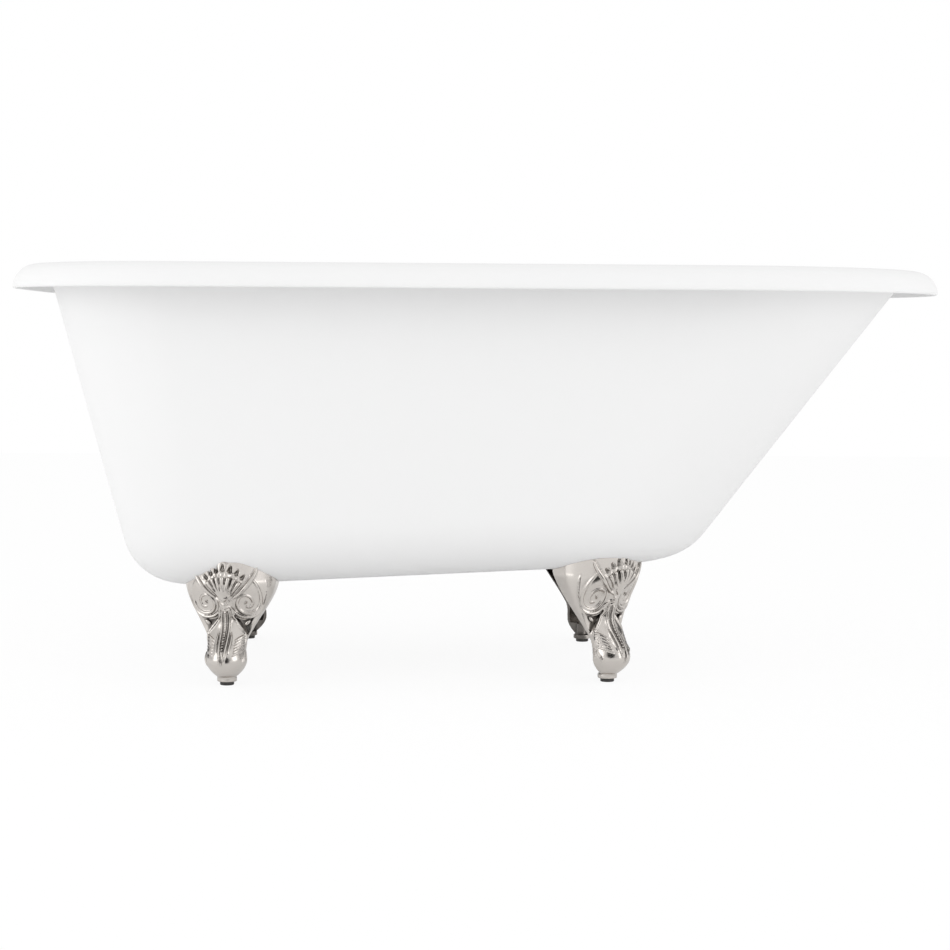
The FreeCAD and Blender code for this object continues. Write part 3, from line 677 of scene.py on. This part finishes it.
shelf_bottom = 0.119
pocket_floor = -0.0065
pocket_edge = ((12.5, 96), (18, 93.5), (26, 92.5), (33, 94.5), (39.5, 97), (37.5, 91.5), (33.5, 83.5),
               (30.6, 76), (29.2, 70.5), (27.5, 74.5), (23, 81.5), (17.5, 88.5))
curl_section = [(0.0026 * math.sin(math.radians(turn)), -0.0055 * math.cos(math.radians(turn)))
                for turn in range(0, 181, 15)]
stem_bore_radius = 0.00505
stem_bore_top = 0.048
stud_hole_radius = 0.0055


def foot_casting(end):
    """One end's foot: the model drawn up and hollowed, with its pockets, leaf curls and two bores."""
    casting = bpy.data.objects.new("foot_" + end, model.data.copy())
    bpy.context.scene.collection.objects.link(casting)
    for vert in casting.data.vertices:
        vert.co = drawn_up(vert.co, end)
    for section, low, high, sunk in ((leg_section, 0.029, shelf_bottom, 0.0),
                                     (shield_section, 0.058, shelf_bottom, 0.014),
                                     (leg_section, shelf_top, 0.206, 0.003),
                                     (shield_section, shelf_top, 0.210, 0.003)):
        hollow_mesh = bmesh.new()
        foot_part(hollow_mesh, section, low, high, foot_wall, sunk)
        carved(casting, finished("hollow", hollow_mesh))
    for side in (1, -1):
        edge = [drawn_up(Vector((0, side * across * 0.001, height * 0.001)), end)
                for across, height in pocket_edge]
        for point in edge:
            point.x = pocket_floor
        pocket_mesh = bmesh.new()
        skinned(pocket_mesh, [edge, [point + Vector((0.05, 0, 0)) for point in edge]])
        carved(casting, finished("pocket_tool", pocket_mesh))
        curl_middle = drawn_up(Vector((0, side * 0.0285, 0.0885)), end)
        curl_middle.x = pocket_floor + 0.002
        curl_tilt = Matrix.Rotation(math.radians(-side * 50), 4, "X")
        curl_mesh = bmesh.new()
        turned(curl_mesh, curl_section, Matrix.Translation(curl_middle) @ curl_tilt, steps=24)
        carved(casting, finished("leaf_curl", curl_mesh), operation="UNION")
    bore_mesh = bmesh.new()
    turned(bore_mesh, ((0, 0), (stem_bore_radius, 0), (stem_bore_radius, stem_bore_top),
                       (0, stem_bore_top)))
    carved(casting, finished("stem_bore", bore_mesh))
    hole_mesh = bmesh.new()
    turned(hole_mesh, ((0, 0.110), (stud_hole_radius, 0.110), (stud_hole_radius, 0.140), (0, 0.140)),
           Matrix.Translation((-stud_setback, 0, 0)))
    carved(casting, finished("stud_hole", hole_mesh))
    return casting


seat_mesh = bmesh.new()
seat_gap = 0.0003
seat_rings = rounded_rings(-seat_gap)
skinned(seat_mesh, seat_rings + [shell_ring(ceiling_above, -seat_gap)])
seat = finished("seat_tool", seat_mesh)


def painted_shade_of(made, reach=0.010):
    """How deep in the carving each point lies: the share of its view that is shut off nearby.

    The share is used to paint shade into the nickel's colour. Faces turned towards the back of the
    casting count as deep too, so the back is painted dark as shade."""
    skin = BVHTree.FromPolygons([vert.co for vert in made.data.vertices],
                                [face.vertices for face in made.data.polygons])
    spread = []
    for tilt, count in ((30, 4), (58, 6)):
        for step in range(count):
            turn = math.tau * (step + tilt / 60) / count
            spread.append((math.sin(math.radians(tilt)) * math.cos(turn),
                           math.sin(math.radians(tilt)) * math.sin(turn), math.cos(math.radians(tilt))))
    depths = KDTree(len(made.data.vertices))
    shares = []
    for index, vert in enumerate(made.data.vertices):
        square = vert.normal
        aside = square.orthogonal().normalized()
        along = square.cross(aside)
        start = vert.co + square * 0.0004
        shut = 0.4 * len(spread) * min(max((-0.3 - square.x) / 0.4, 0.0), 1.0)
        for a, b, c in spread:
            distance = skin.ray_cast(start, aside * a + along * b + square * c, reach)[3]
            if distance is not None:
                shut += 1 - distance / reach
        shares.append(min(shut / len(spread), 1.0))
        depths.insert(vert.co, index)
    depths.balance()
    return depths, shares


castings = {}
for end in ("drain", "slope"):
    casting = foot_casting(end)
    castings[end] = (casting, *painted_shade_of(casting))
nickel = bpy.data.materials.new("brushed_nickel")
nickel.use_nodes = True
nodes = nickel.node_tree.nodes
links = nickel.node_tree.links
surface = nodes["Principled BSDF"]
surface.inputs["Metallic"].default_value = 1
# The nickel's colour runs from its own bright shade down to near black as the shut-off share kept at
# each point grows: painted shade in the carving's hollows and over the back of the casting.
depth = nodes.new("ShaderNodeAttribute")
depth.attribute_name = "painted_shade"
painted_shade_ramp = nodes.new("ShaderNodeValToRGB")
painted_shade_ramp.color_ramp.elements[0].position = 0.03
painted_shade_ramp.color_ramp.elements[0].color = (0.62, 0.585, 0.55, 1)
painted_shade_ramp.color_ramp.elements[1].position = 0.6
painted_shade_ramp.color_ramp.elements[1].color = (0.045, 0.04, 0.036, 1)
middle = painted_shade_ramp.color_ramp.elements.new(0.19)
middle.color = (0.30, 0.28, 0.26, 1)
where = nodes.new("ShaderNodeTexCoord")
grain = nodes.new("ShaderNodeTexNoise")
grain.inputs["Scale"].default_value = 260
grain.inputs["Detail"].default_value = 3
rub = nodes.new("ShaderNodeMapRange")
rub.inputs["To Min"].default_value = 0.18
rub.inputs["To Max"].default_value = 0.27
tooth = nodes.new("ShaderNodeBump")
tooth.inputs["Strength"].default_value = 0.08
tooth.inputs["Distance"].default_value = 0.0006
links.new(depth.outputs["Fac"], painted_shade_ramp.inputs["Fac"])
links.new(painted_shade_ramp.outputs["Color"], surface.inputs["Base Color"])
links.new(where.outputs["Object"], grain.inputs["Vector"])
links.new(grain.outputs["Fac"], rub.inputs["Value"])
links.new(rub.outputs["Result"], surface.inputs["Roughness"])
links.new(grain.outputs["Fac"], tooth.inputs["Height"])
links.new(tooth.outputs["Normal"], surface.inputs["Normal"])

for name, foot_place in feet.items():
    casting, depths, painted_shade_shares = castings[name.split("_")[0]]
    foot = bpy.data.objects.new("foot_cast_" + name, casting.data.copy())
    bpy.context.scene.collection.objects.link(foot)
    foot.data.transform(foot_place)
    carved(foot, seat, kept=True)
    smoothed(foot, 50)
    # Each point takes the shut-off share of its nearest point on the casting, as painted shade for the
    # nickel's colour.
    painted_shade = foot.data.attributes.new("painted_shade", "FLOAT", "POINT")
    back_to_casting = foot_place.inverted()
    for vert, held in zip(foot.data.vertices, painted_shade.data):
        held.value = painted_shade_shares[depths.find(back_to_casting @ vert.co)[1]]
    foot.data.materials.clear()
    foot.data.materials.append(nickel)
    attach(foot, "tub")
    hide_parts("foot_" + name)
bpy.data.objects.remove(seat)
bpy.data.objects.remove(model)
for end in castings:
    bpy.data.objects.remove(castings[end][0])

# ------------------------------------------------------------------ fixings
# Each foot hangs on a stud that is screwed into the shell's boss. Under its ledge are a plain
# washer, a split lock washer and a hexagon nut, all rolled or pressed from steel.


def grained(name, shades, metallic, roughness, scale, depth):
    """A finish with cloudy shades and a fine grain."""
    made = bpy.data.materials.new(name)
    made.use_nodes = True
    nodes = made.node_tree.nodes
    links = made.node_tree.links
    surface = nodes["Principled BSDF"]
    surface.inputs["Metallic"].default_value = metallic
    where = nodes.new("ShaderNodeTexCoord")
    cloud = nodes.new("ShaderNodeTexNoise")
    cloud.inputs["Scale"].default_value = scale
    cloud.inputs["Detail"].default_value = 4
    tint = nodes.new("ShaderNodeValToRGB")
    for element, place, shade in zip(tint.color_ramp.elements, (0.35, 0.65), shades):
        element.position = place
        element.color = (*shade, 1)
    rub = nodes.new("ShaderNodeMapRange")
    rub.inputs["To Min"].default_value = roughness[0]
    rub.inputs["To Max"].default_value = roughness[1]
    fine = nodes.new("ShaderNodeTexNoise")
    fine.inputs["Scale"].default_value = scale * 8
    tooth = nodes.new("ShaderNodeBump")
    tooth.inputs["Strength"].default_value = 0.3
    tooth.inputs["Distance"].default_value = depth
    links.new(where.outputs["Object"], cloud.inputs["Vector"])
    links.new(where.outputs["Object"], fine.inputs["Vector"])
    links.new(cloud.outputs["Fac"], tint.inputs["Fac"])
    links.new(cloud.outputs["Fac"], rub.inputs["Value"])
    links.new(fine.outputs["Fac"], tooth.inputs["Height"])
    links.new(tint.outputs["Color"], surface.inputs["Base Color"])
    links.new(rub.outputs["Result"], surface.inputs["Roughness"])
    links.new(tooth.outputs["Normal"], surface.inputs["Normal"])
    return made


def dressed(part, material):
    """Gives the four like parts of the CAD model their finish."""
    for name in feet:
        bpy.data.objects[part + "_" + name].material_slots[0].material = material


zinc = grained("zinc_plate", ((0.56, 0.57, 0.58), (0.68, 0.68, 0.66)), 1, (0.28, 0.42), 90, 0.0001)
sprung = grained("oiled_spring_steel", ((0.20, 0.20, 0.21), (0.32, 0.31, 0.30)), 1, (0.3, 0.45), 120,
                 0.0001)
for part in ("stud", "washer", "nut"):
    dressed(part, zinc)
dressed("lock_washer", sprung)

# ------------------------------------------------------------------ levellers
# Each foot stands on a turned screw of blackened steel, which is wound up or down in the ball's
# bore. A pad of moulded plastic snaps over the button at the screw's lower end.

dressed("leveller_stem", grained("blackened_steel", ((0.10, 0.095, 0.09), (0.19, 0.18, 0.17)), 1,
                                 (0.35, 0.5), 110, 0.0001))
dressed("leveller_pad", grained("pad_plastic", ((0.028, 0.026, 0.024), (0.045, 0.042, 0.040)), 0,
                                (0.45, 0.6), 140, 0.00015))

# ------------------------------------------------------------------ studio
# A plain white floor and backdrop, soft lamps on both sides and over the bath, dark boards that
# show in reflections only, and a camera low in front.

floor_mesh = bmesh.new()
bmesh.ops.create_grid(floor_mesh, x_segments=1, y_segments=1, size=6)
floor = finished("floor", floor_mesh)
white = bpy.data.materials.new("studio_white")
white.use_nodes = True
nodes = white.node_tree.nodes
links = white.node_tree.links
nodes.clear()
out = nodes.new("ShaderNodeOutputMaterial")
paint = nodes.new("ShaderNodeBsdfDiffuse")
paint.inputs["Color"].default_value = (0.93, 0.93, 0.93, 1)
glow = nodes.new("ShaderNodeEmission")
glow.inputs["Strength"].default_value = 1
ray = nodes.new("ShaderNodeLightPath")
mix = nodes.new("ShaderNodeMixShader")
share = nodes.new("ShaderNodeMath")
share.operation = "MAXIMUM"
for index, (ray_kind, part) in enumerate((("Is Camera Ray", 0.9), ("Is Glossy Ray", 0.3))):
    own_share = nodes.new("ShaderNodeMath")
    own_share.operation = "MULTIPLY"
    own_share.inputs[1].default_value = part
    links.new(ray.outputs[ray_kind], own_share.inputs[0])
    links.new(own_share.outputs[0], share.inputs[index])
links.new(share.outputs[0], mix.inputs["Fac"])
links.new(paint.outputs[0], mix.inputs[1])
links.new(glow.outputs[0], mix.inputs[2])
links.new(mix.outputs[0], out.inputs["Surface"])
floor.data.materials.append(white)

world = bpy.data.worlds.new("studio")
bpy.context.scene.world = world
world.use_nodes = True
nodes = world.node_tree.nodes
links = world.node_tree.links
nodes.clear()
out = nodes.new("ShaderNodeOutputWorld")
room = nodes.new("ShaderNodeBackground")
room.inputs["Color"].default_value = (0.95, 0.95, 0.95, 1)
room.inputs["Strength"].default_value = 1
backdrop = nodes.new("ShaderNodeBackground")
backdrop.inputs["Color"].default_value = (1, 1, 1, 1)
seen_in_metal = nodes.new("ShaderNodeBackground")
where = nodes.new("ShaderNodeTexCoord")
apart = nodes.new("ShaderNodeSeparateXYZ")
sky = nodes.new("ShaderNodeValToRGB")
sky.color_ramp.elements[0].position = 0.0
sky.color_ramp.elements[0].color = (0.7, 0.7, 0.71, 1)
sky.color_ramp.elements[1].position = 0.3
sky.color_ramp.elements[1].color = (0.8, 0.8, 0.8, 1)
ray = nodes.new("ShaderNodeLightPath")
metal_mix = nodes.new("ShaderNodeMixShader")
camera_mix = nodes.new("ShaderNodeMixShader")
links.new(where.outputs["Generated"], apart.inputs[0])
links.new(apart.outputs["Z"], sky.inputs["Fac"])
links.new(sky.outputs["Color"], seen_in_metal.inputs["Color"])
links.new(ray.outputs["Is Glossy Ray"], metal_mix.inputs["Fac"])
links.new(room.outputs[0], metal_mix.inputs[1])
links.new(seen_in_metal.outputs[0], metal_mix.inputs[2])
links.new(ray.outputs["Is Camera Ray"], camera_mix.inputs["Fac"])
links.new(metal_mix.outputs[0], camera_mix.inputs[1])
links.new(backdrop.outputs[0], camera_mix.inputs[2])
links.new(camera_mix.outputs[0], out.inputs["Surface"])


def soft_lamp(name, place, target, size, power):
    """A square soft lamp that points at a place."""
    data = bpy.data.lights.new(name, "AREA")
    data.shape = "SQUARE"
    data.size = size
    data.energy = power
    lamp = bpy.data.objects.new(name, data)
    lamp.location = place
    lamp.rotation_euler = (Vector(target) - Vector(place)).to_track_quat("-Z", "Y").to_euler()
    bpy.context.scene.collection.objects.link(lamp)


soft_lamp("over_lamp", (0.2, -1.2, 2.6), (0, 0, 0.3), 3.0, 5)
soft_lamp("left_lamp", (-2.6, -1.6, 0.8), (-0.3, 0, 0.2), 1.8, 16)
soft_lamp("right_lamp", (2.6, -1.8, 0.8), (0.3, 0, 0.2), 1.8, 14)


def dark_flag(name, place, target, width, height):
    """A dark oval board that only reflections show."""
    mesh = bmesh.new()
    bmesh.ops.create_circle(mesh, cap_ends=True, segments=32, radius=0.5)
    bmesh.ops.scale(mesh, vec=(width, height, 1), verts=mesh.verts)
    aim = (Vector(target) - Vector(place)).to_track_quat("-Z", "Y").to_matrix().to_4x4()
    bmesh.ops.transform(mesh, matrix=Matrix.Translation(place) @ aim, verts=mesh.verts)
    board = finished(name, mesh)
    board.data.materials.append(flag_black)
    for ray in ("camera", "diffuse", "shadow", "transmission", "volume_scatter"):
        setattr(board, "visible_" + ray, False)


flag_black = bpy.data.materials.new("flag_black")
flag_black.use_nodes = True
paint = flag_black.node_tree.nodes["Principled BSDF"]
paint.inputs["Base Color"].default_value = (0.02, 0.02, 0.02, 1)
paint.inputs["Roughness"].default_value = 1
dark_flag("left_rear_flag", (-1.6, 0.9, 0.5), (-0.3, 0, 0.1), 0.8, 2.0)
dark_flag("right_rear_flag", (1.4, 1.2, 0.5), (0.1, 0, 0.1), 0.8, 2.0)
flag_away = 0.120
under_lens = Vector((-0.142, -3.477, 0))
for name, spot_height in (("drain_front", 0.040), ("slope_front", 0.082)):
    foot_middle = feet[name].to_translation()
    towards_lens = (under_lens - foot_middle).normalized()
    place = foot_middle + towards_lens * flag_away
    dark_flag("ball_flag_" + name, (place.x, place.y, spot_height), (*foot_middle.xy, spot_height),
              0.085, 0.100)

focal_pixels = 2280
picture_pixels = 950
lens = bpy.data.cameras.new("camera")
lens.sensor_width = 36
lens.lens = focal_pixels / picture_pixels * lens.sensor_width
camera = bpy.data.objects.new("camera", lens)
yaw, pitch, roll = 0.0377, 0.0613, 0.0062
ahead = Vector((math.sin(yaw) * math.cos(pitch), math.cos(yaw) * math.cos(pitch), -math.sin(pitch)))
level_right = Vector((math.cos(yaw), -math.sin(yaw), 0))
level_up = level_right.cross(ahead)
right = math.cos(roll) * level_right + math.sin(roll) * level_up
up = math.cos(roll) * level_up - math.sin(roll) * level_right
camera.matrix_world = Matrix.Translation((-0.142, -3.4772, 0.498)) @ Matrix(
    (right, up, -ahead)).transposed().to_4x4()
bpy.context.scene.collection.objects.link(camera)
bpy.context.scene.camera = camera
bpy.context.scene.view_settings.view_transform = "Standard"
